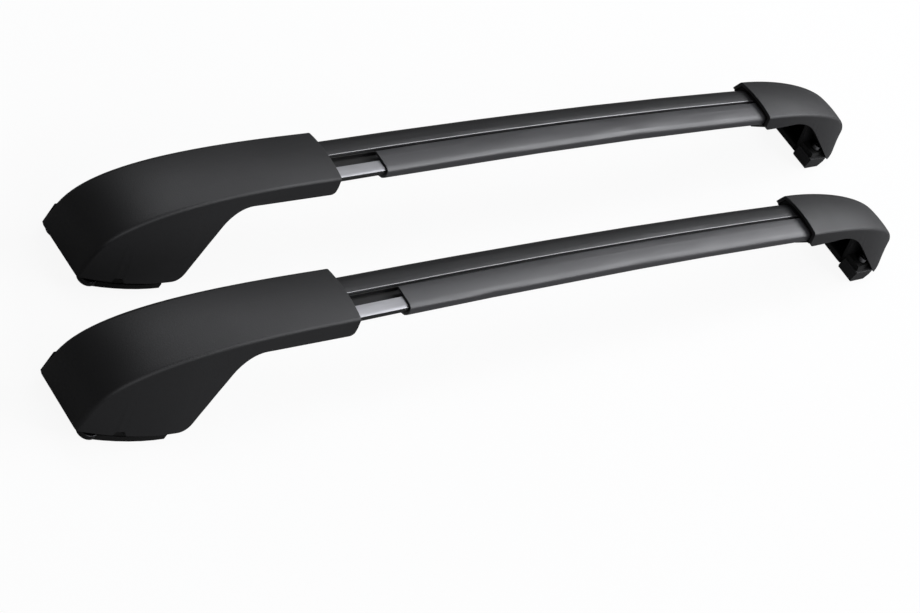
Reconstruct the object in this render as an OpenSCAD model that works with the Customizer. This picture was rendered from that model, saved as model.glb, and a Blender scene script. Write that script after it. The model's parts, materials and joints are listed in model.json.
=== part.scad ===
// Pair of arched roof cross bars with moulded foot covers, drawn as they stand on a flat surface.
// Each bar runs along X. A foot is drawn once, outward along +X, and turned half a turn for the other end.

/* [Pair] */
// Length of one bar over both feet
overall_len = 1210; // [1000:1:1400]
// Distance between the centre lines of the front and rear bar
bar_spacing = 152; // [130:1:900]
// How far the rear bar stands to the right of the front bar
rear_shift = 84; // [0:1:200]
// Angle by which the rear bar is turned from the front one
rear_turn = 1.3; // [0:0.1:3]

/* [Foot cover] */
// Length of a foot from its mouth to its outer end
foot_len = 255; // [220:1:280]
// Height of the cover's side ridges at the mouth
ridge_h = 91; // [85:1:110]
// Rise of the crowned top between the ridges
crown_rise = 3; // [1:0.5:6]
// Half width across the ridges at the mouth
ridge_half = 27.5; // [27:0.5:34]
// Half width of the outer end
tip_half = 29; // [26:0.5:34]
// Half width of the outer end of the right-hand feet, which droop sooner
right_tip_half = 16; // [14:0.5:34]
// Half width of the base where it is widest
base_half = 50; // [46:0.5:60]
// Distance of the base's inner end from the outer end
base_len = 97; // [85:1:115]
// Height of the side wall at the mouth
mouth_side = 15.5; // [14:0.5:22]
// Wall thickness of the cover
cover_wall = 3; // [2:0.1:4]
// Height of the cover's lower rim
rim_h = 11; // [7:0.5:14]
// Radius of the side walls' lower corner at the mouth
mouth_r = 7; // [3:0.5:10]
// Radius of the side walls' lower corner at the base
corner_r = 14; // [6:0.5:18]
// Slope of the closed side wall's inner edge from level
shoulder_slope = 59; // [45:1:70]
// Radius of the closed side wall's shoulder
shoulder_r = 34; // [20:1:45]
// Distance of the base from the outer end on the open side
open_len = 53; // [45:1:70]
// Slope of the open side wall's inner edge from level
open_slope = 33; // [28:1:45]
// Radius of the open side wall's shoulder
open_r = 130; // [60:1:150]

/* [Bar] */
// Rise of the bar's arch between the two mouths
arch_rise = 5.7; // [3:0.1:12]
// Height of the bar's top at the mouths
bar_top = 87; // [80:0.5:100]
// Depth of the nose fairing from top to bottom
bar_depth = 14.6; // [13:0.1:18]
// Distance of the bar's front edge from its centre line
bar_front = 24.6; // [22:0.1:26]
// Distance of the bar's back edge from its centre line
bar_back = 23.4; // [20:0.1:25]
// Length of beam held inside each foot
beam_grip = 78; // [60:1:95]
// Length of bright beam left uncovered beside one foot
bare_len = 66; // [20:1:120]
// Length of the fairing inside the other foot's mouth
nose_grip = 26; // [8:1:35]
// Wall thickness of the extrusions
skin = 2; // [1.6:0.1:2.6]
// Width of the dark groove between the fairing and the back strip
groove_w = 3; // [2:0.1:5]
// Width of the open channel in the beam
channel_w = 10; // [8:0.5:12]
// Depth of the open channel in the beam
channel_d = 5.6; // [4:0.1:6.5]

/* [Fittings] */
// Thickness of the rubber pad under each foot
pad_t = 6; // [4:0.5:8]
// Thickness of the bracket's base plate
plate_t = 6; // [4:0.5:8]
// Half width of the bracket's arm
arm_half = 19; // [15:0.5:22]
// Thickness of the bracket's side ribs
rib_t = 4; // [3:0.5:6]
// Shank radius of the clamp bolt and the beam screws
bolt_r = 3; // [2.5:0.1:3.6]
// Shank radius of the locating studs
stud_r = 4.2; // [3:0.1:5]
// Head radius of the locating studs
stud_head_r = 7; // [5.5:0.1:8]
// Height of the locating studs' domed tips above the floor
stud_tip = 1; // [0.5:0.1:3]
// Gap left between pieces that are fitted to each other
fit_gap = 0.3; // [0.2:0.05:0.5]
// Radial gap of a screw in its hole
screw_gap = 0.2; // [0.1:0.05:0.4]
// Gap between the bracket and the inside of the cover
cover_gap = 1.2; // [1:0.1:2]
// Distance of the pad's inner end from the base's inner end
pad_back = 14; // [8:1:20]
// Distance of the cover screw's boss from the outer end
boss_in = 42; // [38:1:48]
// Radius of the cover screw's boss
boss_r = 5; // [4:0.5:6]
// Shank radius of the cover screw
cover_screw_r = 2; // [1.5:0.1:2.5]

/* [Hidden] */
$fn = 48;
eps = 0.02;

half_len = overall_len / 2;
mouth_u = half_len - foot_len;
base_u = half_len - base_len;
open_u = half_len - open_len;

// Beam section: its front land, its channel and its back shelf
beam_front = bar_front - skin - fit_gap;
beam_back = bar_back - 4;
land_h = -skin - fit_gap;
beam_low = -bar_depth + skin + fit_gap;
channel_front = -groove_w - channel_w;
shelf_h = -3.4;

// Crowned top of a foot: its height along its length follows a squashed ellipse with these two powers
left_crown = [2.75, 0.3];
right_crown = [1.7, 0.5];
steps = 26;
crown_steps = 8;

// Heights inside a foot
plate_top = pad_t + plate_t;
draft = (base_half - ridge_half) / (ridge_h - rim_h - 4);
// Centre of the box round both bars
turn_reach = base_u * sin(rear_turn) + base_half * cos(rear_turn);
centre_x = rear_shift / 2;
centre_y = (bar_spacing + turn_reach - base_half) / 2;

function lengthwise(a) = pow(sin(a), 2 / $crown[0]);
function crown_z(a, top, low) = low + (top - low) * pow(max(cos(a), 0), 2 * $crown[1]);
function ease(t) = 1 - t * t;
// Half width of the cover at rim height, at u along the bar
function rim_half(u) = let(t = max(0, (u - base_u) / base_len))
    $tip_half + (base_half - $tip_half) * ease(min(t, 1));
// Half width of the cover at its ridges
function ridge_at(u) = ridge_half + ($tip_half - ridge_half) * pow((u - mouth_u) / foot_len, 2);

module at_front() { translate([-centre_x, -centre_y, 0]) children(); }
module at_rear() {
    translate([rear_shift - centre_x, bar_spacing - centre_y, 0]) rotate([0, 0, rear_turn]) children();
}
module at_left() {
    $crown = left_crown;
    $tip_half = tip_half;
    rotate([0, 0, 180]) children();
}
module at_right() {
    $crown = right_crown;
    $tip_half = right_tip_half;
    children();
}

// Height of the bar's top line above the floor, at x along the bar
function arch_z(x) = bar_top + arch_rise * (1 - pow(x / mouth_u, 2));
// Sweep a section along the arch. It is the band between two paths of [across, height from the top line],
// with the outer path on the left as it is walked, and equally many points on both.
module arched(from_x, to_x, outer, inner, parts = 12) {
    n = len(outer);
    ring = 2 * n;
    band = concat([inner[0]], outer, [for (i = [n - 1:-1:1]) inner[i]]);
    function in_at(i) = (ring - i) % ring;
    polyhedron(
        points = [for (k = [0:parts]) let(x = from_x + (to_x - from_x) * k / parts)
            for (p = band) [x, p[0], arch_z(x) + p[1]]],
        faces = concat(
            [for (i = [0:n - 2]) [in_at(i + 1), i + 2, i + 1, in_at(i)]],
            [for (i = [0:n - 2]) let(e = parts * ring) [e + in_at(i), e + i + 1, e + i + 2, e + in_at(i + 1)]],
            [for (k = [0:parts - 1]) for (j = [0:ring - 1]) let(m = (j + 1) % ring)
                [k * ring + m, (k + 1) * ring + m, (k + 1) * ring + j, k * ring + j]]
        )
    );
}

// Extrusions
beam_outer = [[-beam_front, land_h - 2.2], [-beam_front + 0.8, land_h - 0.8], [-beam_front + 2.5, land_h],
    [channel_front, land_h], [channel_front + 0.2, land_h - channel_d], [-1.4, land_h - channel_d],
    [-1.2, shelf_h], [beam_back - 1, shelf_h], [beam_back, shelf_h - 1]];
beam_inner = [[-beam_front, beam_low + 5.6], [-beam_front + 1.2, beam_low + 2.6], [-beam_front + 5, beam_low],
    [channel_front - 0.5, beam_low], [channel_front + 1, beam_low], [-2, beam_low],
    [-0.5, beam_low], [beam_back - 1, beam_low], [beam_back, beam_low + 1]];
module beam_chambers(reach) {
    arched(-reach, reach,
        [[-beam_front + skin + 0.2, land_h - skin - 0.6], [-beam_front + skin + 1.7, land_h - skin],
            [channel_front - skin, land_h - skin]],
        [[-beam_front + skin + 0.2, beam_low + skin + 2.7], [-beam_front + skin + 2.1, beam_low + skin],
            [channel_front - skin, beam_low + skin]], 2);
    arched(-reach, reach, [[-1.2 + skin, shelf_h - skin], [beam_back - skin, shelf_h - skin]],
        [[-1.2 + skin, beam_low + skin], [beam_back - skin, beam_low + skin]], 12);
}
nose_outer = [[-groove_w, 1 - bar_depth], [-10, -bar_depth], [-bar_front + 9.6, -bar_depth],
    [-bar_front + 5.7, 0.4 - bar_depth], [-bar_front + 2.4, 2 - bar_depth], [-bar_front + 0.6, 4.2 - bar_depth],
    [-bar_front, 6.6 - bar_depth], [-bar_front + 0.2, -4.8], [-bar_front + 1.8, -2], [-bar_front + 5.4, -0.4],
    [channel_front + 0.2, -0.1], [channel_front + 0.9, -0.08], [channel_front + 1.7, -0.05],
    [channel_front + 2.4, -0.03], [-groove_w - 0.8, 0], [-groove_w, -0.6]];
nose_inner = [[-groove_w, skin - bar_depth], [-10, skin - bar_depth], [-bar_front + 9.6, skin - bar_depth],
    [-beam_front + 4.8, skin - bar_depth], [-beam_front + 1, beam_low + 2.35], [-beam_front + 0.3, beam_low + 4],
    [-beam_front - fit_gap, beam_low + 5.6], [-beam_front - fit_gap, land_h - 2.1],
    [-beam_front + 0.5, land_h - 0.55], [-beam_front + 2.3, -skin], [channel_front + fit_gap, -skin],
    [channel_front + 0.7, -skin - 3], [channel_front + 1.9, -skin - 3], [channel_front + 2.5, -skin],
    [-groove_w - 1.2, -skin], [-groove_w, -skin]];
strip_outer = [[0, -1], [0.8, -0.3], [6, 0], [13, -0.4], [bar_back - 5, -1.7], [bar_back - 1.6, -4.2],
    [bar_back, -7.2], [bar_back - 0.4, 3 - bar_depth], [bar_back - 2, 0.8 - bar_depth + 0.4]];
strip_inner = [[0, shelf_h + fit_gap], [1.5, shelf_h + fit_gap], [6, shelf_h + fit_gap], [13, shelf_h + fit_gap],
    [beam_back - 0.8, shelf_h + fit_gap], [beam_back + fit_gap, shelf_h - 0.9], [beam_back + fit_gap, -7.2],
    [beam_back + fit_gap, 3 - bar_depth], [beam_back + fit_gap, 0.6 - bar_depth]];
beam_end = mouth_u + beam_grip;
strip_end = mouth_u + nose_grip;
module beam() {
    color("silver") difference() {
        arched(-beam_end, beam_end, beam_outer, beam_inner);
        beam_chambers(beam_end + 1);
        for (side = [-1, 1]) beam_screw_bores(side, bolt_r + screw_gap);
    }
}
module nose_fairing() {
    color([0.2, 0.2, 0.21]) arched(-mouth_u + bare_len, mouth_u + nose_grip, nose_outer, nose_inner);
}
module back_strip() {
    color([0.12, 0.12, 0.13]) arched(-strip_end, strip_end, strip_outer, strip_inner);
}

// Foot cover
// A solid in the form of the cover, smaller all round by inset, and drawn out past the mouth by reach
module foot_form(inset, reach) {
    length = foot_len - inset;
    top = ridge_h - inset;
    low = rim_h + 0.6 - inset;
    floor_z = rim_h - 2 * inset;
    rings = [for (k = [-1:steps]) let(
            a = 90 * max(k, 0) / steps,
            u = mouth_u + length * lengthwise(a),
            z = crown_z(a, top, low),
            side = ridge_at(u) - inset,
            foot = rim_half(u) - inset + draft * inset,
            rise = crown_rise * (z - low) / (top - low)
        ) concat(
            [[k < 0 ? u - reach : u, -foot, floor_z]],
            [for (j = [0:crown_steps]) let(t = 2 * j / crown_steps - 1)
                [k < 0 ? u - reach : u, side * t, z + rise * ease(t)]],
            [[k < 0 ? u - reach : u, foot, floor_z]]
        )];
    n = crown_steps + 3;
    first = reach > 0 ? 0 : 1;
    count = steps + 2 - first;
    polyhedron(
        points = [for (k = [first:steps + 1]) for (p = rings[k]) p],
        faces = concat(
            [[for (j = [n - 1:-1:0]) j]],
            [[for (j = [0:n - 1]) (count - 1) * n + j]],
            [for (k = [0:count - 2]) for (j = [0:n - 1]) let(m = (j + 1) % n)
                [k * n + m, (k + 1) * n + m, (k + 1) * n + j, k * n + j]]
        )
    );
}
// What is cut from a side wall below its curved lower edge, drawn along the bar and upwards
module wall_cut(end_u, slope, r) {
    low_z = ridge_h - mouth_side;
    tangent = corner_r / tan((180 - slope) / 2);
    arc_u = end_u - r * sin(slope) - (low_z - r * (1 - cos(slope)) - rim_h) / tan(slope);
    polygon(concat(
        [[mouth_u - 20, -20], [mouth_u - 20, low_z + mouth_r]],
        [for (a = [180:15:270]) [mouth_u + mouth_r * (1 + cos(a)), low_z + mouth_r * (1 + sin(a))]],
        [for (a = [0:slope / 8:slope]) [arc_u + r * sin(a), low_z - r * (1 - cos(a))]],
        [for (a = [270 - slope:slope / 6:270]) [end_u + tangent + corner_r * cos(a), rim_h + corner_r * (1 + sin(a))]],
        [[end_u + tangent, -20]]
    ));
}
// Draw an outline standing along the bar, between two places across it
module upright(from_v, to_v) {
    translate([0, to_v, 0]) rotate([90, 0, 0]) linear_extrude(to_v - from_v) children();
}
boss_u = half_len - boss_in;
module cover() {
    color([0.17, 0.17, 0.18]) difference() {
        foot_form(0, 0);
        difference() {
            foot_form(cover_wall, 12);
            translate([boss_u, 0, plate_top + fit_gap]) cylinder(r = boss_r, h = ridge_h);
        }
        upright(1, base_half + 20) wall_cut(base_u, shoulder_slope, shoulder_r);
        upright(-base_half - 20, -1) wall_cut(open_u, open_slope, open_r);
        translate([boss_u, 0, 0]) cylinder(r = cover_screw_r + screw_gap, h = plate_top + 14);
        // Notch in the closed wall's rim between stud and pad
        upright(0, base_half + 20) translate([stud_u - 24, rim_h - 1])
            polygon([[0, -5], [3, 5], [10, 5], [13, -5]]);
    }
}

// Bracket and its fittings
stud_u = half_len - 17;
function stud_v() = $tip_half - 3.5;
bolt_u = base_u + 18;
bolt_v = -30;
jaw_top = 16.5;
ear_t = 5;
screw_v = 9;
screw_us = [mouth_u + 42, mouth_u + 66];
seat_u = mouth_u + nose_grip + 3;
arm_u = mouth_u + beam_grip + 4;
lip_z = bar_top - bar_depth - 1.2;

function plate_half(u) = rim_half(u) - cover_wall - cover_gap;
// Outline of the base in plan, smaller all round by inset, without the corner that the clamp jaw takes
module base_outline(inset) {
    from_u = base_u + 3 + inset;
    to_u = half_len - cover_wall - 2.5 - inset;
    stations = [for (i = [0:8]) from_u + (to_u - from_u) * i / 8];
    difference() {
        polygon(concat(
            [for (u = stations) [u, plate_half(u) - inset]],
            [for (i = [8:-1:0]) [stations[i], inset - plate_half(stations[i])]]
        ));
        translate([base_u - 20, -base_half - 10]) square([20 + 41, base_half + 10 - 15.5]);
    }
}
module beam_screw_bores(side, r) {
    for (u = screw_us) translate([side * u, screw_v, bar_top - 40]) cylinder(r = r, h = 40 - 10);
}
// Arm seen from the side: lip, cradle, sloping arm and its foot
module arm_profile() {
    polygon([
        [mouth_u - 5, lip_z - 3], [mouth_u - 5, lip_z], [seat_u, lip_z - 0.8], [seat_u, bar_top], [arm_u, bar_top],
        [arm_u, bar_top - 12], [arm_u + 60, bar_top - 18], [half_len - 45, bar_top - 28],
        [half_len - 22, plate_top - 1], [base_u + 6, plate_top - 1], [base_u - 20, 50], [base_u - 36, 62],
        [base_u - 60, lip_z - 8], [seat_u, lip_z - 8]
    ]);
}
module arm_pocket() {
    polygon([
        [seat_u + 4, 0], [seat_u + 4, lip_z - 5], [arm_u + 4, lip_z - 6.6], [arm_u + 56, bar_top - 24],
        [half_len - 50, bar_top - 34], [half_len - 31, plate_top], [base_u, plate_top]
    ]);
}
module bracket(hand) {
    color([0.1, 0.1, 0.11]) difference() {
        intersection() {
            union() {
                difference() {
                    upright(-arm_half, arm_half) arm_profile();
                    upright(-arm_half + rib_t, arm_half - rib_t) arm_pocket();
                }
                translate([0, 0, pad_t]) linear_extrude(plate_t) base_outline(0);
                // Ear over the clamp jaw
                translate([base_u + 3, -40, jaw_top + fit_gap]) cube([30, 40 - arm_half + 1, ear_t]);
                // Bosses round the beam screws
                for (u = screw_us) translate([u, hand * screw_v, lip_z - 10]) cylinder(r = 6.5, h = 12);
            }
            foot_form(cover_wall + cover_gap, 12);
        }
        arched_envelope();
        for (u = screw_us) translate([u, hand * screw_v, 0]) {
            translate([0, 0, lip_z - 20]) cylinder(r = bolt_r + screw_gap, h = 40);
            translate([0, 0, lip_z - 20]) cylinder(r = 5.2, h = 10);
        }
        for (v = [-stud_v(), stud_v()]) translate([stud_u, v, 0]) cylinder(r = stud_r + screw_gap, h = 40);
        translate([bolt_u, bolt_v, 0]) cylinder(r = bolt_r + screw_gap, h = 40);
        translate([boss_u, 0, 0]) cylinder(r = cover_screw_r + screw_gap, h = plate_top + 2);
        translate([boss_u, 0, plate_top + 0.01]) cylinder(r = boss_r + 1, h = 80);
    }
}
// Room that the beam takes over the cradle
module arched_envelope() {
    arched(seat_u - 30, arm_u + 40, [[-bar_front - 6, 30], [bar_back + 6, 30]],
        [[-bar_front - 6, beam_low - fit_gap], [bar_back + 6, beam_low - fit_gap]], 4);
}
module base_pad() {
    color([0.06, 0.06, 0.06]) difference() {
        linear_extrude(pad_t - fit_gap) base_outline(-1);
        translate([base_u - 10, -base_half, -1]) cube([10 + pad_back, 2 * base_half, 20]);
        for (v = [-stud_v(), stud_v()]) translate([stud_u, v, -1]) cylinder(r = stud_head_r + 1, h = 20);
        translate([stud_u - 2, -base_half, -1]) cube([30, 2 * base_half, 20]);
        translate([boss_u, 0, -1]) cylinder(r = 5, h = 20);
    }
}
module clamp_jaw() {
    color([0.2, 0.2, 0.21]) difference() {
        translate([0, 0, 1]) intersection() {
            translate([base_u + 1, -43, 0]) cube([36, 43 - arm_half - 1, jaw_top - 1]);
            upright(-60, 0) polygon([[base_u + 1, 4], [base_u + 5, 0], [base_u + 33, 0], [base_u + 37, 8],
                [base_u + 35, 20], [base_u + 1, 20]]);
        }
        translate([bolt_u, bolt_v, 2]) cylinder(r = bolt_r + screw_gap, h = 30);
    }
}
module socket_head_screw(r, length, head_r, head_h) {
    difference() {
        union() {
            cylinder(r = r, h = length + eps);
            translate([0, 0, length]) cylinder(r = head_r, h = head_h);
        }
        translate([0, 0, length + head_h / 2]) cylinder(r = r * 0.9, h = head_h, $fn = 6);
    }
}
module clamp_bolt() {
    color("dimgray") translate([bolt_u, bolt_v, 3])
        socket_head_screw(bolt_r, jaw_top + ear_t + 2 * fit_gap - 3, 5, 5);
}
module locating_studs() {
    color("dimgray") for (v = [-stud_v(), stud_v()]) translate([stud_u, v, 0]) {
        translate([0, 0, stud_tip + 2.2]) cylinder(r = stud_head_r, h = pad_t - fit_gap - stud_tip - 2.2);
        intersection() {
            translate([0, 0, stud_tip + 12.2]) sphere(r = 12.2, $fn = 64);
            translate([0, 0, stud_tip]) cylinder(r = stud_head_r, h = 2.2 + eps);
        }
        translate([0, 0, pad_t - fit_gap - eps]) cylinder(r = stud_r, h = plate_t + 3);
    }
}
module beam_screws(hand) {
    length = 18;
    color("dimgray") for (u = screw_us) translate([u, hand * screw_v, lip_z - 10 - fit_gap]) {
        translate([0, 0, -eps]) cylinder(r = bolt_r, h = length);
        translate([0, 0, -4]) difference() {
            cylinder(r = 4.9, h = 4);
            translate([0, 0, -1]) cylinder(r = bolt_r * 0.9, h = 3, $fn = 6);
        }
    }
}
module nut_plate(hand) {
    h_low = beam_low + skin + fit_gap;
    color("gray") difference() {
        arched(screw_us[0] - 12, screw_us[1] + 12,
            [[hand * screw_v - 7, h_low + 3.6], [hand * screw_v + 7, h_low + 3.6]],
            [[hand * screw_v - 7, h_low], [hand * screw_v + 7, h_low]], 3);
        for (u = screw_us) translate([u, hand * screw_v, 0]) cylinder(r = bolt_r + screw_gap, h = 120);
    }
}
module cover_screw() {
    color("dimgray") translate([boss_u, 0, pad_t - fit_gap]) {
        translate([0, 0, -3]) cylinder(r = 3.8, h = 3);
        translate([0, 0, -eps]) cylinder(r = cover_screw_r, h = plate_t + 12);
    }
}
at_front() beam();  // front_beam
at_front() nose_fairing();  // front_nose_fairing
at_front() back_strip();  // front_back_strip
at_rear() beam();  // rear_beam
at_rear() nose_fairing();  // rear_nose_fairing
at_rear() back_strip();  // rear_back_strip
at_front() at_left() cover();  // front_left_cover
at_front() at_left() bracket(-1);  // front_left_bracket
at_front() at_left() base_pad();  // front_left_base_pad
at_front() at_left() clamp_jaw();  // front_left_clamp_jaw
at_front() at_left() clamp_bolt();  // front_left_clamp_bolt
at_front() at_left() locating_studs();  // front_left_locating_studs
at_front() at_left() beam_screws(-1);  // front_left_beam_screws
at_front() at_left() nut_plate(-1);  // front_left_nut_plate
at_front() at_left() cover_screw();  // front_left_cover_screw
at_front() at_right() cover();  // front_right_cover
at_front() at_right() bracket(1);  // front_right_bracket
at_front() at_right() base_pad();  // front_right_base_pad
at_front() at_right() clamp_jaw();  // front_right_clamp_jaw
at_front() at_right() clamp_bolt();  // front_right_clamp_bolt
at_front() at_right() locating_studs();  // front_right_locating_studs
at_front() at_right() beam_screws(1);  // front_right_beam_screws
at_front() at_right() nut_plate(1);  // front_right_nut_plate
at_front() at_right() cover_screw();  // front_right_cover_screw
at_rear() at_left() cover();  // rear_left_cover
at_rear() at_left() bracket(-1);  // rear_left_bracket
at_rear() at_left() base_pad();  // rear_left_base_pad
at_rear() at_left() clamp_jaw();  // rear_left_clamp_jaw
at_rear() at_left() clamp_bolt();  // rear_left_clamp_bolt
at_rear() at_left() locating_studs();  // rear_left_locating_studs
at_rear() at_left() beam_screws(-1);  // rear_left_beam_screws
at_rear() at_left() nut_plate(-1);  // rear_left_nut_plate
at_rear() at_left() cover_screw();  // rear_left_cover_screw
at_rear() at_right() cover();  // rear_right_cover
at_rear() at_right() bracket(1);  // rear_right_bracket
at_rear() at_right() base_pad();  // rear_right_base_pad
at_rear() at_right() clamp_jaw();  // rear_right_clamp_jaw
at_rear() at_right() clamp_bolt();  // rear_right_clamp_bolt
at_rear() at_right() locating_studs();  // rear_right_locating_studs
at_rear() at_right() beam_screws(1);  // rear_right_beam_screws
at_rear() at_right() nut_plate(1);  // rear_right_nut_plate
at_rear() at_right() cover_screw();  // rear_right_cover_screw
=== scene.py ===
"""Pair of roof cross bars: dressed meshes, procedural finishes, studio and camera.

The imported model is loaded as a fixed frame. Each class below dresses one sub-assembly: it takes the
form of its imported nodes, welds and softens their edges, adds the small pieces that belong there and
gives everything its finish. All lengths are in metres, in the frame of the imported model.
"""

import json
import logging
import math
from dataclasses import dataclass
from enum import Enum

import bmesh
import bpy
from mathutils import Matrix, Vector

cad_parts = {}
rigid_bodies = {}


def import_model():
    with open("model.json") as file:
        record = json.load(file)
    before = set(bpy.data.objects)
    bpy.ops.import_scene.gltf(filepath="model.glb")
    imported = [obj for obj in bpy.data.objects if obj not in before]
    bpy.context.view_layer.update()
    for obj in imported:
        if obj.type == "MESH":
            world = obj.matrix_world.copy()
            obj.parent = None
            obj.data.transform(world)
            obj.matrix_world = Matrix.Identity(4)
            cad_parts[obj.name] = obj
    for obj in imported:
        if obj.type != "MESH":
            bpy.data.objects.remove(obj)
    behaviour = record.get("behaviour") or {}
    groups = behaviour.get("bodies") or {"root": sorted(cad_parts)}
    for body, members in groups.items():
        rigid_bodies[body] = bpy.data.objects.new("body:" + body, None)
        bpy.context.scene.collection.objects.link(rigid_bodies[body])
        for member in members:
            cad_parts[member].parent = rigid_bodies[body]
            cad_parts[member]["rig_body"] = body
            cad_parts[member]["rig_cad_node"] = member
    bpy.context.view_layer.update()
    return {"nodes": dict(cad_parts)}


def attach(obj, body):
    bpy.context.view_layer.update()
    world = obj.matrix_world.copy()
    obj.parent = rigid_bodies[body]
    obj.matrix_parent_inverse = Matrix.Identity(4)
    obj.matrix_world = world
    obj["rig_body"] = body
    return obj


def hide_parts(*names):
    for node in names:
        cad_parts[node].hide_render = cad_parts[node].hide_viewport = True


LOG = logging.getLogger("cross_bars")
BODY = "root"
WHITE = (1.0, 1.0, 1.0, 1.0)
DOWN = Vector((0.0, 0.0, -1.0))
UP = Vector((0.0, 0.0, 1.0))
INWARDS = Vector((-1.0, 0.0, 0.0))


class Bar(Enum):
    """Which of the two bars a piece belongs to."""

    FRONT = "front"
    REAR = "rear"


class End(Enum):
    """Which end of a bar a foot stands at."""

    LEFT = "left"
    RIGHT = "right"


class Soften(Enum):
    """How much the edges of a kind of piece are rounded: width in metres and segments."""

    MOULDED = (0.0005, 2)
    EXTRUDED = (0.0004, 3)
    CAST = (0.0007, 3)
    RUBBER = (0.0009, 3)
    TURNED = (0.0003, 2)


@dataclass(frozen=True)
class Layout:
    """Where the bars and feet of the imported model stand, as its source has them.

    A bar's own coordinates have X along it, Y to its back and the origin on the floor under its
    middle. A foot's own coordinates are the bar's, turned so that X points outwards.
    """

    centre: tuple[float, float] = (0.042, 0.081756)
    rear_shift: float = 0.084
    spacing: float = 0.152
    rear_turn: float = math.radians(1.3)
    half_len: float = 0.605
    foot_len: float = 0.255
    rim_h: float = 0.011

    @property
    def mouth(self) -> float:
        """Distance of a foot's mouth from the bar's middle."""
        return self.half_len - self.foot_len

    def bar(self, bar: Bar) -> Matrix:
        """Find the place of a bar.

        Args:
            bar: which bar.

        Returns:
            The step from the bar's own coordinates to the model's frame.
        """
        middle = Matrix.Translation((-self.centre[0], -self.centre[1], 0.0))
        if bar is Bar.FRONT:
            return middle
        shift = Matrix.Translation((self.rear_shift, self.spacing, 0.0))
        return middle @ shift @ Matrix.Rotation(self.rear_turn, 4, "Z")

    def foot(self, bar: Bar, end: End) -> Matrix:
        """Find the place of a foot.

        Args:
            bar: which bar it belongs to.
            end: which end it stands at.

        Returns:
            The step from the foot's own coordinates to the model's frame.
        """
        turn = Matrix.Rotation(math.pi, 4, "Z") if end is End.LEFT else Matrix.Identity(4)
        return self.bar(bar) @ turn


@dataclass(frozen=True)
class CoverRounding:
    """How a cover's ridges and mouth are rounded, and how their edges are told from the others.

    The width is that of an edge with full weight. Vertices within the tip's reach of the outer end are
    welded. The last five values are limits for a face's normal, by which it counts as a side face, a
    top face, one that looks up, one that looks outwards, or the face of the mouth.
    """

    width: float = 0.0034
    segments: int = 6
    least_ridge: float = 0.64
    mouth_weight: float = 0.3
    tip_reach: float = 0.002
    tip_weld: float = 0.0007
    side_face: float = 0.6
    top_face: float = 0.5
    looks_up: float = 0.1
    looks_out: float = 0.5
    mouth_face: float = 0.9

    def ridge_weight(self, along: float) -> float:
        """Weight of a ridge's edge, which is most at the outer end.

        Args:
            along: how far along the foot the edge is, from 0 at the mouth to 1.

        Returns:
            The bevel weight.
        """
        return self.least_ridge + (1.0 - self.least_ridge) * along ** 3

    def is_ridge(self, side: Vector, other: Vector, across: float) -> bool:
        """Whether an edge lies on a ridge, between a side face and the top.

        Args:
            side: normal of the one face, in the foot's coordinates.
            other: normal of the other face.
            across: how far across the foot the edge is.

        Returns:
            True for a ridge.
        """
        outward = side.y * across > 0.0 and abs(side.y) > self.side_face
        on_top = other.z > self.looks_up or other.x > self.looks_out
        return outward and abs(other.y) < self.top_face and on_top

    def is_mouth(self, side: Vector, other: Vector, across: float) -> bool:
        """Whether an edge lies round the outside of the mouth.

        Args:
            side: normal of the one face, in the foot's coordinates.
            other: normal of the other face.
            across: how far across the foot the edge is.

        Returns:
            True for an edge of the mouth.
        """
        outer = other.z > self.looks_up or other.y * across > 0.0
        return side.x < -self.mouth_face and outer and other.z > -self.looks_up


LAYOUT = Layout()
COVER_ROUNDING = CoverRounding()
# Vertices this close together are one, and faces this close to level with each other, in degrees
WELD = 0.00002
FLAT = 0.4
# Part of a normal past which a face of a new piece looks the way that is asked for
SAME_WAY = 0.9
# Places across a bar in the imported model, and where the photograph has them: the bar's front, the
# beam's front, the front edges of channel, groove and strip, the beam's back and the bar's back
JOINT_SHIFTS = (
    (-0.0246, -0.0246), (-0.0225, -0.0225), (-0.013, -0.0098), (-0.003, -0.0005), (0.0, 0.0025),
    (0.0194, 0.0194), (0.0234, 0.0234),
)


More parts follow.
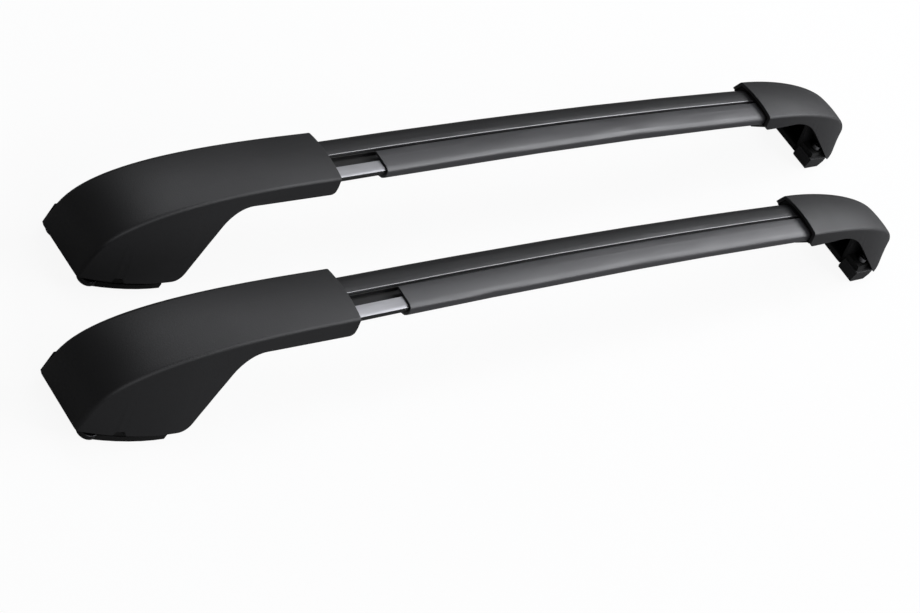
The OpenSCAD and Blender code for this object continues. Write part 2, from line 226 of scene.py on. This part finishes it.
class Groups:
    """Shader node groups that several finishes share, each built once."""

    coarse_detail: float = 4.0
    cloud_detail: float = 3.0
    coarse_share: float = 0.3
    coarse_scale: float = 0.5
    line_stretch: tuple[float, float, float] = (0.012, 1.0, 1.0)
    line_detail: float = 3.0
    line_roughness: float = 0.6

    def __init__(self) -> None:
        """Start with no group built."""
        self._built: dict[str, bpy.types.NodeTree] = {}

    @staticmethod
    def _start(name: str, inputs: dict[str, float]) -> bpy.types.NodeTree:
        """Start a group that takes a vector and numbers, and puts out a height and a mask.

        Args:
            name: the group's name.
            inputs: its number inputs and their defaults.

        Returns:
            The group, with its sockets.
        """
        tree = bpy.data.node_groups.new(name, "ShaderNodeTree")
        tree.interface.new_socket(name="Vector", in_out="INPUT", socket_type="NodeSocketVector")
        for label, value in inputs.items():
            item = tree.interface.new_socket(name=label, in_out="INPUT", socket_type="NodeSocketFloat")
            item.default_value = value
        for label in ("Height", "Mask"):
            tree.interface.new_socket(name=label, in_out="OUTPUT", socket_type="NodeSocketFloat")
        return tree

    def grain(self) -> bpy.types.NodeTree:
        """Fine moulded or blasted grain with broad, faint unevenness.

        Returns:
            A group with a height for bump and a mask for roughness and colour.
        """
        if "grain" in self._built:
            return self._built["grain"]
        tree = self._start("surface_grain", {"Grain scale": 900.0, "Cloud scale": 9.0})
        nodes, links = tree.nodes, tree.links
        inside = nodes.new("NodeGroupInput")
        out = nodes.new("NodeGroupOutput")
        fine = nodes.new("ShaderNodeTexVoronoi")
        fine.feature = "SMOOTH_F1"
        coarse = nodes.new("ShaderNodeTexNoise")
        coarse.inputs["Detail"].default_value = self.coarse_detail
        cloud = nodes.new("ShaderNodeTexNoise")
        cloud.inputs["Detail"].default_value = self.cloud_detail
        half = nodes.new("ShaderNodeMath")
        half.operation = "MULTIPLY"
        half.inputs[1].default_value = self.coarse_scale
        mix = nodes.new("ShaderNodeMath")
        mix.operation = "ADD"
        both = nodes.new("ShaderNodeMath")
        both.operation = "MULTIPLY_ADD"
        both.inputs[1].default_value = self.coarse_share
        for texture in (fine, coarse, cloud):
            links.new(inside.outputs["Vector"], texture.inputs["Vector"])
        links.new(inside.outputs["Grain scale"], fine.inputs["Scale"])
        links.new(inside.outputs["Grain scale"], half.inputs[0])
        links.new(half.outputs[0], coarse.inputs["Scale"])
        links.new(inside.outputs["Cloud scale"], cloud.inputs["Scale"])
        links.new(fine.outputs["Distance"], mix.inputs[0])
        links.new(coarse.outputs["Fac"], mix.inputs[1])
        links.new(mix.outputs[0], out.inputs["Height"])
        links.new(coarse.outputs["Fac"], both.inputs[0])
        links.new(cloud.outputs["Fac"], both.inputs[2])
        links.new(both.outputs[0], out.inputs["Mask"])
        self._built["grain"] = tree
        return tree

    def drawn(self) -> bpy.types.NodeTree:
        """Fine lines along X, as a die leaves on an extrusion.

        Returns:
            A group with a height for bump and a mask for roughness.
        """
        if "drawn" in self._built:
            return self._built["drawn"]
        tree = self._start("drawn_lines", {"Line scale": 700.0})
        nodes, links = tree.nodes, tree.links
        inside = nodes.new("NodeGroupInput")
        out = nodes.new("NodeGroupOutput")
        stretch = nodes.new("ShaderNodeMapping")
        stretch.inputs["Scale"].default_value = self.line_stretch
        lines = nodes.new("ShaderNodeTexNoise")
        lines.inputs["Detail"].default_value = self.line_detail
        lines.inputs["Roughness"].default_value = self.line_roughness
        links.new(inside.outputs["Vector"], stretch.inputs["Vector"])
        links.new(stretch.outputs["Vector"], lines.inputs["Vector"])
        links.new(inside.outputs["Line scale"], lines.inputs["Scale"])
        links.new(lines.outputs["Fac"], out.inputs["Height"])
        links.new(lines.outputs["Fac"], out.inputs["Mask"])
        self._built["drawn"] = tree
        return tree


@dataclass(frozen=True)
class Finish:
    """One finish, as it would be written on a parts drawing.

    A finish is drawn by its colour, its gloss and its grain. The colour drifts between a dark and a
    light tone over the surface, and the roughness follows the same mask.
    """

    name: str
    slot: str
    dark: tuple[float, float, float]
    light: tuple[float, float, float]
    rough_low: float
    rough_high: float
    metallic: float = 0.0
    specular: float = 0.5
    grain_scale: float = 900.0
    cloud_scale: float = 9.0
    bump: float = 0.05
    drawn: bool = False
    bump_depth: float = 0.0004
    mask_low: float = 0.3
    mask_high: float = 0.8

    def build(self, groups: Groups) -> bpy.types.Material:
        """Make the material.

        Args:
            groups: the shared shader groups.

        Returns:
            The node-based material.
        """
        material = bpy.data.materials.new(self.name)
        material.use_nodes = True
        nodes, links = material.node_tree.nodes, material.node_tree.links
        shader = nodes["Principled BSDF"]
        shader.inputs["Metallic"].default_value = self.metallic
        shader.inputs["Specular IOR Level"].default_value = self.specular
        place = nodes.new("ShaderNodeTexCoord")
        grain = nodes.new("ShaderNodeGroup")
        grain.node_tree = groups.drawn() if self.drawn else groups.grain()
        scale_name = "Line scale" if self.drawn else "Grain scale"
        grain.inputs[scale_name].default_value = self.grain_scale
        if not self.drawn:
            grain.inputs["Cloud scale"].default_value = self.cloud_scale
        tone = nodes.new("ShaderNodeMixRGB")
        tone.inputs["Color1"].default_value = (*self.dark, 1.0)
        tone.inputs["Color2"].default_value = (*self.light, 1.0)
        gloss = nodes.new("ShaderNodeMapRange")
        gloss.inputs["From Min"].default_value = self.mask_low
        gloss.inputs["From Max"].default_value = self.mask_high
        gloss.inputs["To Min"].default_value = self.rough_low
        gloss.inputs["To Max"].default_value = self.rough_high
        bump = nodes.new("ShaderNodeBump")
        bump.inputs["Strength"].default_value = self.bump
        bump.inputs["Distance"].default_value = self.bump_depth
        links.new(place.outputs["Object"], grain.inputs["Vector"])
        links.new(grain.outputs["Mask"], tone.inputs["Fac"])
        links.new(grain.outputs["Mask"], gloss.inputs["Value"])
        links.new(grain.outputs["Height"], bump.inputs["Height"])
        links.new(tone.outputs["Color"], shader.inputs["Base Color"])
        links.new(gloss.outputs["Result"], shader.inputs["Roughness"])
        links.new(bump.outputs["Normal"], shader.inputs["Normal"])
        return material


COVER_PLASTIC = Finish(
    "moulded_cover_plastic", "black_cover", (0.010, 0.010, 0.011), (0.016, 0.016, 0.017),
    0.40, 0.52, specular=0.45, grain_scale=1300.0, bump=0.10)
FAIRING_COAT = Finish(
    "powder_coated_fairing", "black_fairing", (0.042, 0.042, 0.045), (0.056, 0.056, 0.060),
    0.34, 0.46, specular=0.7, grain_scale=1700.0, bump=0.06)
STRIP_PLASTIC = Finish(
    "matt_strip_plastic", "black_strip", (0.008, 0.008, 0.009), (0.014, 0.014, 0.015),
    0.42, 0.55, specular=0.4, grain_scale=1500.0, bump=0.06)
# Painted highlight: a bright metallic colour on the black strip's front edge stands in for the light line
# that this edge catches
STRIP_PAINTED_HIGHLIGHT = Finish(
    "painted_highlight_strip_edge", "black_strip", (0.17, 0.17, 0.175), (0.23, 0.23, 0.235),
    0.30, 0.42, metallic=0.8, grain_scale=900.0, bump=0.03, drawn=True)
BARE_ALUMINIUM = Finish(
    "satin_bare_aluminium", "satin_aluminium", (0.37, 0.37, 0.385), (0.44, 0.44, 0.455),
    0.34, 0.44, metallic=1.0, grain_scale=900.0, bump=0.08, drawn=True)
# Painted shade: near-black colour on the aluminium beam's channel and lower front face, which lie in shade
PAINTED_SHADE_ON_BEAM = Finish(
    "painted_shade_beam_faces", "satin_aluminium", (0.006, 0.006, 0.006), (0.012, 0.012, 0.012),
    0.45, 0.60, specular=0.3, grain_scale=900.0, bump=0.05, drawn=True)
BLACK_CASTING = Finish(
    "black_coated_casting", "black_casting", (0.004, 0.004, 0.004), (0.010, 0.010, 0.010),
    0.50, 0.70, specular=0.35, grain_scale=700.0, bump=0.25)
JAW_CASTING = Finish(
    "grey_black_jaw_casting", "dark_casting", (0.012, 0.012, 0.013), (0.030, 0.030, 0.031),
    0.45, 0.62, specular=0.4, grain_scale=700.0, bump=0.25)
PAD_RUBBER = Finish(
    "moulded_pad_rubber", "rubber", (0.005, 0.005, 0.005), (0.011, 0.011, 0.011),
    0.55, 0.75, specular=0.3, grain_scale=800.0, bump=0.18)
ZINC_STEEL = Finish(
    "zinc_plated_steel", "zinc_steel", (0.26, 0.26, 0.27), (0.36, 0.36, 0.37),
    0.28, 0.42, metallic=1.0, grain_scale=1200.0, bump=0.06)
BLACK_STEEL = Finish(
    "oiled_black_steel", "black_steel", (0.030, 0.030, 0.031), (0.060, 0.060, 0.062),
    0.18, 0.30, metallic=1.0, grain_scale=1200.0, bump=0.05)
PLATE_STEEL = Finish(
    "bare_plate_steel", "plate_steel", (0.34, 0.34, 0.35), (0.44, 0.44, 0.45),
    0.32, 0.46, metallic=1.0, grain_scale=900.0, bump=0.08)


class Bench:
    """Helpers for work on meshes, with the finishes built once."""

    def __init__(self, nodes: dict[str, bpy.types.Object]) -> None:
        """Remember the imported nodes.

        Args:
            nodes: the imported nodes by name.
        """
        self.nodes = nodes
        self.groups = Groups()
        self._materials: dict[str, bpy.types.Material] = {}

    def material(self, finish: Finish) -> bpy.types.Material:
        """Find the material of a finish, and make it at its first use.

        Args:
            finish: the finish.

        Returns:
            Its material.
        """
        if finish.name not in self._materials:
            self._materials[finish.name] = finish.build(self.groups)
        return self._materials[finish.name]

    @staticmethod
    def only(piece: bpy.types.Object) -> None:
        """Make one object the only selected one, and the active one.

        Args:
            piece: the object.
        """
        bpy.ops.object.select_all(action="DESELECT")
        piece.select_set(True)
        bpy.context.view_layer.objects.active = piece

    @staticmethod
    def select_faces(piece: bpy.types.Object, way: Vector) -> None:
        """In edit mode, select only the faces that look one way.

        Args:
            piece: the piece in edit mode.
            way: the way they look.
        """
        work = bmesh.from_edit_mesh(piece.data)
        for face in work.faces:
            face.select_set(False)
        for face in work.faces:
            if face.normal.dot(way) > SAME_WAY:
                face.select_set(True)
        bmesh.update_edit_mesh(piece.data)

    def give(self, piece: bpy.types.Object, finish: Finish) -> None:
        """Put one finish on the whole of a piece.

        Args:
            piece: the piece.
            finish: its finish.
        """
        piece.data.materials.clear()
        piece.data.materials.append(self.material(finish))

    def apply(self, piece: bpy.types.Object) -> None:
        """Apply all modifiers of a piece in their order.

        Args:
            piece: the piece.
        """
        self.only(piece)
        for modifier in list(piece.modifiers):
            bpy.ops.object.modifier_apply(modifier=modifier.name)

    @staticmethod
    def weigh_cover_edges(piece: bpy.types.Object, place: Matrix, angle: float) -> None:
        """Close a cover's outer end to one edge, and weigh its ridges and its mouth for rounding.

        Args:
            piece: the cover's copy.
            place: the foot's place.
            angle: the smallest angle between faces, in degrees, that counts as an edge.
        """
        back = place.inverted() @ piece.matrix_world
        turn = back.to_3x3()
        rule = COVER_ROUNDING
        work = bmesh.new()
        work.from_mesh(piece.data)
        tip = [vert for vert in work.verts if (back @ vert.co).x > LAYOUT.half_len - rule.tip_reach]
        bmesh.ops.remove_doubles(work, verts=tip, dist=rule.tip_weld)
        layers = work.edges.layers.float
        layer = layers.get("bevel_weight_edge") or layers.new("bevel_weight_edge")
        for edge in work.edges:
            if len(edge.link_faces) != 2 or edge.calc_face_angle(0.0) < math.radians(angle):
                continue
            middle = back @ ((edge.verts[0].co + edge.verts[1].co) / 2)
            first, second = (turn @ face.normal for face in edge.link_faces)
            for side, other in ((first, second), (second, first)):
                if rule.is_ridge(side, other, middle.y):
                    edge[layer] = rule.ridge_weight((middle.x - LAYOUT.mouth) / LAYOUT.foot_len)
                elif rule.is_mouth(side, other, middle.y):
                    edge[layer] = rule.mouth_weight
        work.to_mesh(piece.data)
        work.free()

    @staticmethod
    def rounding(piece: bpy.types.Object, width: float, segments: int, angle: float | None) -> None:
        """Add a bevel, on edges sharper than an angle or, without one, on edges by their weight.

        Args:
            piece: the piece.
            width: the bevel's width at full weight.
            segments: how many segments it has.
            angle: the smallest angle between faces, in degrees, or None.
        """
        bevel = piece.modifiers.new("rounding", "BEVEL")
        bevel.width = width
        bevel.segments = segments
        bevel.use_clamp_overlap = angle is not None
        bevel.limit_method = "WEIGHT" if angle is None else "ANGLE"
        if angle is not None:
            bevel.angle_limit = math.radians(angle)

    @staticmethod
    def trim_to_rim(piece: bpy.types.Object, place: Matrix) -> None:
        """Keep a rounded cover above its rim and within its outer end.

        Args:
            piece: the cover's copy.
            place: the foot's place.
        """
        back = place.inverted()
        for vert in piece.data.vertices:
            spot = back @ vert.co
            if spot.z < LAYOUT.rim_h or spot.x > LAYOUT.half_len:
                spot.z = max(spot.z, LAYOUT.rim_h)
                spot.x = min(spot.x, LAYOUT.half_len)
                vert.co = place @ spot

    @staticmethod
    def shift_joints(piece: bpy.types.Object, place: Matrix) -> None:
        """Move the lines between fairing, channel and strip back a little, as the photograph has them.

        Args:
            piece: a copy of one of the bar's extrusions.
            place: the bar's place.
        """
        back = place.inverted()
        for vert in piece.data.vertices:
            spot = back @ vert.co
            for (low, to_low), (high, to_high) in zip(JOINT_SHIFTS, JOINT_SHIFTS[1:]):
                if low < spot.y <= high:
                    spot.y = to_low + (to_high - to_low) * (spot.y - low) / (high - low)
                    vert.co = place @ spot
                    break

    def finish_shading(self, piece: bpy.types.Object, angle: float) -> None:
        """Shade a piece smooth up to an angle, with its flat faces kept flat.

        Args:
            piece: the piece.
            angle: the smallest angle between faces, in degrees, that stays sharp.
        """
        self.only(piece)
        bpy.ops.object.shade_smooth_by_angle(angle=math.radians(angle))
        even = piece.modifiers.new("even_shading", "WEIGHTED_NORMAL")
        even.keep_sharp = True
        self.apply(piece)

    def paint(self, piece: bpy.types.Object, finish: Finish, place: Matrix,
              across: tuple[float, float], facing: float = 1.0) -> None:
        """Give the faces between two places across a bar the piece's second finish, which the bars use for
        painted shade and a painted highlight.

        Args:
            piece: the piece.
            finish: the second finish.
            place: the bar's place.
            across: from where to where across the bar.
            facing: the most that a painted face's normal points to the back.
        """
        if self.material(finish) not in list(piece.data.materials):
            piece.data.materials.append(self.material(finish))
        back = place.inverted()
        turn = back.to_3x3()
        for face in piece.data.polygons:
            if across[0] <= (back @ face.center).y <= across[1] and (turn @ face.normal).y <= facing:
                face.material_index = 1

    def complete(self, piece: bpy.types.Object, finish: Finish, width: float, segments: int,
                 angle: float, shade_angle: float) -> None:
        """Round a piece's edges, shade it, give it its finish and let it ride.

        Args:
            piece: the piece.
            finish: its finish.
            width: the width of its rounded edges.
            segments: how many segments they have.
            angle: the smallest angle between faces, in degrees, that is rounded.
            shade_angle: the smallest angle, in degrees, that stays sharp in the shading.
        """
        self.rounding(piece, width, segments, angle)
        self.apply(piece)
        self.finish_shading(piece, shade_angle)
        self.give(piece, finish)
        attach(piece, BODY)

    def dress(self, node: str, finish: Finish, soften: Soften, angle: float = 32.0,
              cover_place: Matrix | None = None, bar_place: Matrix | None = None) -> bpy.types.Object:
        """Stand a welded, edge-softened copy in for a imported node.

        Args:
            node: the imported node.
            finish: the copy's finish.
            soften: how its edges are rounded.
            angle: the smallest angle between faces, in degrees, that counts as an edge.
            cover_place: the foot's place, for a cover, whose ridges are rounded more.
            bar_place: the bar's place, for one of its extrusions.

        Returns:
            The dressed copy.
        """
        source = self.nodes[node]
        piece = source.copy()
        piece.data = source.data.copy()
        piece.parent = None
        piece.name = f"{node}_skin"
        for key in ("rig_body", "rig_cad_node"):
            if key in piece:
                del piece[key]
        bpy.context.scene.collection.objects.link(piece)
        self.only(piece)
        bpy.ops.object.mode_set(mode="EDIT")
        bpy.ops.mesh.select_all(action="SELECT")
        bpy.ops.mesh.remove_doubles(threshold=WELD)
        bpy.ops.mesh.dissolve_limited(angle_limit=math.radians(FLAT))
        bpy.ops.object.mode_set(mode="OBJECT")
        if bar_place is not None:
            self.shift_joints(piece, bar_place)
        if cover_place is not None:
            self.weigh_cover_edges(piece, cover_place, angle)
            self.rounding(piece, COVER_ROUNDING.width, COVER_ROUNDING.segments, None)
            self.apply(piece)
            self.trim_to_rim(piece, cover_place)
        self.complete(piece, finish, *soften.value, angle, angle)
        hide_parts(node)
        LOG.info("dressed %s with %d faces", node, len(piece.data.polygons))
        return piece


@dataclass
class CrossBar:
    """One bar between its feet: bare beam, nose fairing and back strip."""

    bench: Bench
    bar: Bar
    # land_edge and front_face bound the beam's faces with painted shade; the strip's band with the painted
    # highlight starts at strip_edge
    land_edge: float = -0.01
    front_face: float = -0.0215
    front_facing: float = -0.8
    strip_edge: float = 0.0025
    strip_slack: float = 0.0002
    highlight_width: float = 0.0009
    highlight_facing: float = -0.3
    past_all: float = 1.0
    beam_angle: float = 24.0
    strip_angle: float = 50.0

    def build(self) -> None:
        """Dress the three extrusions, with painted shade on the beam's channel and lower front face and a
        painted highlight on the strip's front edge.
        """
        name = self.bar.value
        place = LAYOUT.bar(self.bar)
        dress = self.bench.dress
        paint = self.bench.paint
        beam = dress(f"{name}_beam", BARE_ALUMINIUM, Soften.EXTRUDED, self.beam_angle, bar_place=place)
        # Painted shade on the beam: channel faces behind the land, then the lower front face
        paint(beam, PAINTED_SHADE_ON_BEAM, place, (self.land_edge, self.past_all))
        paint(beam, PAINTED_SHADE_ON_BEAM, place, (-self.past_all, self.front_face), self.front_facing)
        dress(f"{name}_nose_fairing", FAIRING_COAT, Soften.EXTRUDED, self.strip_angle, bar_place=place)
        strip = dress(f"{name}_back_strip", STRIP_PLASTIC, Soften.EXTRUDED, self.strip_angle, bar_place=place)
        # Painted highlight: the faces along the strip's front edge get the bright colour
        edge = (self.strip_edge - self.strip_slack, self.strip_edge + self.highlight_width)
        paint(strip, STRIP_PAINTED_HIGHLIGHT, place, edge, self.highlight_facing)


@dataclass(frozen=True)
class MouthSealAndShade:
    """Sizes of the dark rubber seal that closes a cover's mouth round the bar; its black fill of the gap
    round the bar is partly painted shade.
    """

    inset: float = 0.0015
    thickness: float = 0.003
    top: float = 0.0885
    low: float = 0.0765
    half: float = 0.0246
    flare: float = 1.14
    lip: float = 0.0012
    edge_width: float = 0.0003
    edge_segments: int = 2
    edge_angle: float = 40.0


@dataclass(frozen=True)
class StudCap:
    """Sizes of the dark domed cap on a locating stud's head."""

    along: float = 0.588
    reach: float = 0.0255
    reach_right: float = 0.0125
    radius: float = 0.0088
    height: float = 0.0056
    low: float = 0.0009
    dome: float = 0.0005
    sides: int = 48
    edge_width: float = 0.0014
    edge_segments: int = 4
    edge_angle: float = 50.0
    shade_angle: float = 40.0


@dataclass
class Foot:
    """One foot: moulded cover, cast bracket, pad, jaw, fasteners, mouth seal with painted shade in the
    mouth's gap, and stud caps.
    """

    bench: Bench
    bar: Bar
    end: End
    seal: MouthSealAndShade = MouthSealAndShade()
    cap: StudCap = StudCap()
    cover_angle: float = 24.0

    @property
    def name(self) -> str:
        """The foot's name, with which its pieces' names start."""
        return f"{self.bar.value}_{self.end.value}"

    def mouth_seal_and_shade(self) -> None:
        """Model the seal from a block: flared to the mouth, with a lip on top and a sunk face; its black also
        stands in for the shade in the mouth's gap.
        """
        seal = self.seal
        middle = Vector((LAYOUT.mouth + seal.inset + seal.thickness / 2, 0.0, (seal.top + seal.low) / 2))
        size = (seal.thickness, 2 * seal.half, seal.top - seal.low)
        bpy.ops.object.select_all(action="DESELECT")
        bpy.ops.mesh.primitive_cube_add(size=1.0, location=middle, scale=size)
        piece = bpy.context.active_object
        piece.name = f"{self.name}_mouth_seal"
        bpy.ops.object.transform_apply(location=True, rotation=True, scale=True)
        bpy.ops.object.mode_set(mode="EDIT")
        self.bench.select_faces(piece, DOWN)
        bpy.ops.transform.resize(value=(1.0, seal.flare, 1.0), center_override=middle)
        self.bench.select_faces(piece, UP)
        bpy.ops.mesh.inset(thickness=2 * seal.lip, depth=seal.lip, use_even_offset=True)
        self.bench.select_faces(piece, INWARDS)
        bpy.ops.mesh.inset(thickness=seal.lip, depth=-seal.lip, use_even_offset=True)
        bpy.ops.object.mode_set(mode="OBJECT")
        piece.data.transform(LAYOUT.foot(self.bar, self.end))
        # Rubber black on the seal: partly a real seal, partly painted shade filling the dark gap round the
        # bar
        self.bench.complete(piece, PAD_RUBBER, seal.edge_width, seal.edge_segments, seal.edge_angle,
                            seal.edge_angle)
        LOG.info("modelled %s", piece.name)

    def stud_caps(self) -> None:
        """Model a cap on the head of either locating stud from a disc, with its lower face domed."""
        cap = self.cap
        reach = cap.reach if self.end is End.LEFT else cap.reach_right
        for side, across in (("front", -reach), ("back", reach)):
            spot = (cap.along, across, cap.low + cap.height / 2)
            bpy.ops.object.select_all(action="DESELECT")
            bpy.ops.mesh.primitive_cylinder_add(
                vertices=cap.sides, radius=cap.radius, depth=cap.height, location=spot)
            piece = bpy.context.active_object
            piece.name = f"{self.name}_stud_cap_{side}"
            bpy.ops.object.transform_apply(location=True, rotation=True, scale=True)
            bpy.ops.object.mode_set(mode="EDIT")
            self.bench.select_faces(piece, DOWN)
            bpy.ops.mesh.inset(thickness=cap.radius / 2, depth=cap.dome)
            bpy.ops.object.mode_set(mode="OBJECT")
            piece.data.transform(LAYOUT.foot(self.bar, self.end))
            self.bench.complete(piece, BLACK_STEEL, cap.edge_width, cap.edge_segments, cap.edge_angle,
                                cap.shade_angle)
            LOG.info("modelled %s", piece.name)

    def build(self) -> None:
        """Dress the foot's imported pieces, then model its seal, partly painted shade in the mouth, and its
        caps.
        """
        dress = self.bench.dress
        place = LAYOUT.foot(self.bar, self.end)
        dress(f"{self.name}_cover", COVER_PLASTIC, Soften.MOULDED, self.cover_angle, cover_place=place)
        dress(f"{self.name}_bracket", BLACK_CASTING, Soften.CAST)
        dress(f"{self.name}_base_pad", PAD_RUBBER, Soften.RUBBER)
        dress(f"{self.name}_clamp_jaw", JAW_CASTING, Soften.CAST)
        dress(f"{self.name}_clamp_bolt", ZINC_STEEL, Soften.TURNED)
        dress(f"{self.name}_locating_studs", BLACK_STEEL, Soften.TURNED)
        dress(f"{self.name}_beam_screws", ZINC_STEEL, Soften.TURNED)
        dress(f"{self.name}_nut_plate", PLATE_STEEL, Soften.TURNED)
        dress(f"{self.name}_cover_screw", ZINC_STEEL, Soften.TURNED)
        self.mouth_seal_and_shade()
        self.stud_caps()


@dataclass(frozen=True)
class Softbox:
    """One lamp with a rectangular face that looks at the object: place, width and height, and watts."""

    name: str
    place: tuple[float, float, float]
    size: tuple[float, float]
    power: float


SOFTBOXES = (
    Softbox("right_softbox", (5.03, -1.63, 3.43), (6.6, 3.0), 310.0),
    Softbox("front_softbox", (-0.6, -2.8, 1.5), (2.4, 1.4), 22.0),
    Softbox("overhead_softbox", (0.6, 0.9, 2.5), (1.6, 1.2), 18.0),
)


@dataclass
class Studio:
    """Floor, surroundings, lamps and camera."""

    camera_place: tuple[float, float, float] = (-1.65436, -0.74642, 1.14350)
    camera_ahead: tuple[float, float, float] = (0.74720807, 0.34205845, -0.56980357)
    camera_right: tuple[float, float, float] = (0.65292562, -0.53776092, 0.53338666)
    lens: float = 84.294
    sensor: float = 36.0
    sight: float = 100.0
    floor_size: float = 40.0
    floor_cells: int = 4
    floor_tone: float = 0.22
    floor_seen: float = 0.8
    floor_share: float = 0.88
    floor_glow: float = 1.045
    room_seen: float = 0.985
    gloss_share: float = 0.06
    ambient: float = 0.08
    light_tint: tuple[float, float, float] = (0.955, 0.965, 1.0)

    def white_share(self, nodes: bpy.types.Nodes, links: bpy.types.NodeLinks, path: bpy.types.Node,
                    seen: float) -> bpy.types.NodeSocket:
        """Work out how much of the white background a ray sees.

        Args:
            nodes: the material's or world's nodes.
            links: its links.
            path: its Light Path node.
            seen: the share that the camera sees; gloss and glass see a small share.

        Returns:
            The share, as an output socket.
        """
        total = None
        for ray, share in (("Is Camera Ray", seen), ("Is Glossy Ray", self.gloss_share),
                           ("Is Transmission Ray", self.gloss_share)):
            part = nodes.new("ShaderNodeMath")
            part.operation = "MULTIPLY_ADD"
            part.inputs[1].default_value = share
            part.inputs[2].default_value = 0.0
            links.new(path.outputs[ray], part.inputs[0])
            if total is not None:
                links.new(total, part.inputs[2])
            total = part.outputs[0]
        return total

    def floor(self) -> None:
        """A pale floor that shows white to the camera and a little in gloss, with a faint shadow."""
        cells = self.floor_cells
        bpy.ops.mesh.primitive_grid_add(x_subdivisions=cells, y_subdivisions=cells, size=self.floor_size)
        floor = bpy.context.active_object
        floor.name = "pale_floor"
        material = bpy.data.materials.new("pale_floor")
        material.use_nodes = True
        nodes, links = material.node_tree.nodes, material.node_tree.links
        nodes.remove(nodes["Principled BSDF"])
        out = nodes["Material Output"]
        path = nodes.new("ShaderNodeLightPath")
        tone = nodes.new("ShaderNodeMixRGB")
        tone.inputs["Color1"].default_value = (self.floor_tone, self.floor_tone, self.floor_tone, 1.0)
        tone.inputs["Color2"].default_value = (self.floor_seen, self.floor_seen, self.floor_seen, 1.0)
        diffuse = nodes.new("ShaderNodeBsdfDiffuse")
        white = nodes.new("ShaderNodeEmission")
        white.inputs["Color"].default_value = WHITE
        white.inputs["Strength"].default_value = self.floor_glow
        mix = nodes.new("ShaderNodeMixShader")
        links.new(path.outputs["Is Camera Ray"], tone.inputs["Fac"])
        links.new(tone.outputs["Color"], diffuse.inputs["Color"])
        links.new(self.white_share(nodes, links, path, self.floor_share), mix.inputs["Fac"])
        links.new(diffuse.outputs[0], mix.inputs[1])
        links.new(white.outputs[0], mix.inputs[2])
        links.new(mix.outputs[0], out.inputs["Surface"])
        floor.data.materials.append(material)

    def surroundings(self) -> None:
        """A plain dim room that shows white to the camera."""
        world = bpy.data.worlds.new("plain_room")
        bpy.context.scene.world = world
        world.use_nodes = True
        nodes, links = world.node_tree.nodes, world.node_tree.links
        nodes.clear()
        out = nodes.new("ShaderNodeOutputWorld")
        path = nodes.new("ShaderNodeLightPath")
        soft = nodes.new("ShaderNodeBackground")
        soft.inputs["Color"].default_value = WHITE
        soft.inputs["Strength"].default_value = self.ambient
        plain = nodes.new("ShaderNodeBackground")
        plain.inputs["Color"].default_value = (self.room_seen, self.room_seen, self.room_seen, 1.0)
        mix = nodes.new("ShaderNodeMixShader")
        links.new(self.white_share(nodes, links, path, 1.0), mix.inputs["Fac"])
        links.new(soft.outputs[0], mix.inputs[1])
        links.new(plain.outputs[0], mix.inputs[2])
        links.new(mix.outputs[0], out.inputs["Surface"])

    def lamp(self, softbox: Softbox) -> None:
        """Stand one softbox up, with its face to the object.

        Args:
            softbox: the lamp.
        """
        bpy.ops.object.light_add(type="AREA", location=softbox.place)
        lamp = bpy.context.active_object
        lamp.name = softbox.name
        lamp.data.shape = "RECTANGLE"
        lamp.data.size, lamp.data.size_y = softbox.size
        lamp.data.energy = softbox.power
        lamp.data.color = self.light_tint
        lamp.rotation_euler = (-Vector(softbox.place)).to_track_quat("-Z", "Y").to_euler()

    def camera(self) -> None:
        """The camera at the photograph's viewing angle."""
        ahead = Vector(self.camera_ahead).normalized()
        right = Vector(self.camera_right)
        right = (right - ahead * right.dot(ahead)).normalized()
        above = right.cross(ahead)
        data = bpy.data.cameras.new("photo_camera")
        data.lens = self.lens
        data.sensor_width = self.sensor
        data.sensor_fit = "HORIZONTAL"
        data.clip_end = self.sight
        camera = bpy.data.objects.new("photo_camera", data)
        bpy.context.scene.collection.objects.link(camera)
        turn = Matrix((right, above, -ahead)).transposed().to_4x4()
        camera.matrix_world = Matrix.Translation(Vector(self.camera_place)) @ turn
        bpy.context.scene.camera = camera

    def build(self) -> None:
        """Set up floor, room, lamps, camera and view transform."""
        self.floor()
        self.surroundings()
        for softbox in SOFTBOXES:
            self.lamp(softbox)
        self.camera()
        bpy.context.scene.view_settings.view_transform = "Standard"
        LOG.info("studio with %d softboxes is set up", len(SOFTBOXES))


def main() -> None:
    """Load the frame, dress both bars and all feet, then set up the studio."""
    logging.basicConfig(level=logging.INFO, format="%(name)s: %(message)s")
    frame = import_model()
    bench = Bench(frame["nodes"])
    for bar in Bar:
        CrossBar(bench, bar).build()
        for end in End:
            Foot(bench, bar, end).build()
    Studio().build()


if __name__ == "__main__":
    main()
